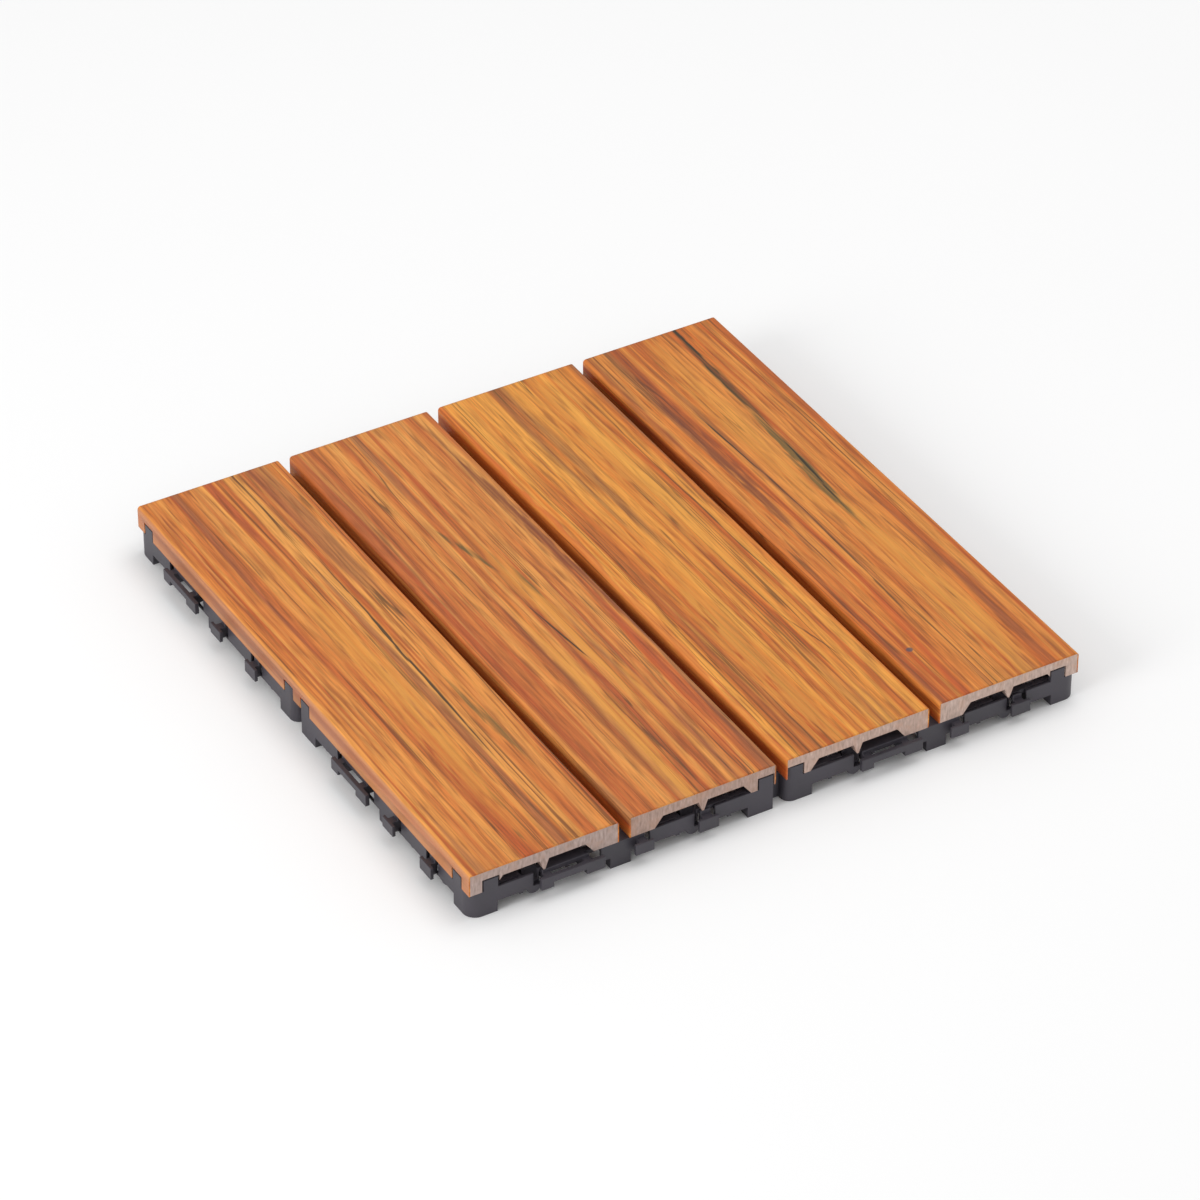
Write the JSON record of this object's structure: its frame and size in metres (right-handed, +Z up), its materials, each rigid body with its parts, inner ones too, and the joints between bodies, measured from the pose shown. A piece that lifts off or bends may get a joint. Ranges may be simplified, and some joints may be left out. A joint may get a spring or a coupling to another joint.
{
  "type": "interlocking deck tile",
  "caption": "Square deck tile: parallel wood-grain composite planks screwed to a black moulded base with interlocking loops and hooks on all sides.",
  "frame": {"origin": "middle of the tile on the floor", "axes": "+Z up, planks along Y, the four equal sides face -Y, +X, +Y and -X"},
  "size_m": [0.308, 0.308, 0.0235],
  "materials": {
    "plank": "embossed wood-grain cap on a composite core, matt, saw-cut ends",
    "base": "moulded black polypropylene, satin",
    "screws": "zinc plated"
  },
  "bodies": {
    "root": {"plank_1": "plank", "plank_2": "plank", "plank_3": "plank", "plank_4": "plank", "base_grid": "base", "plank_screws": "screws"}
  },
  "joints": []
}
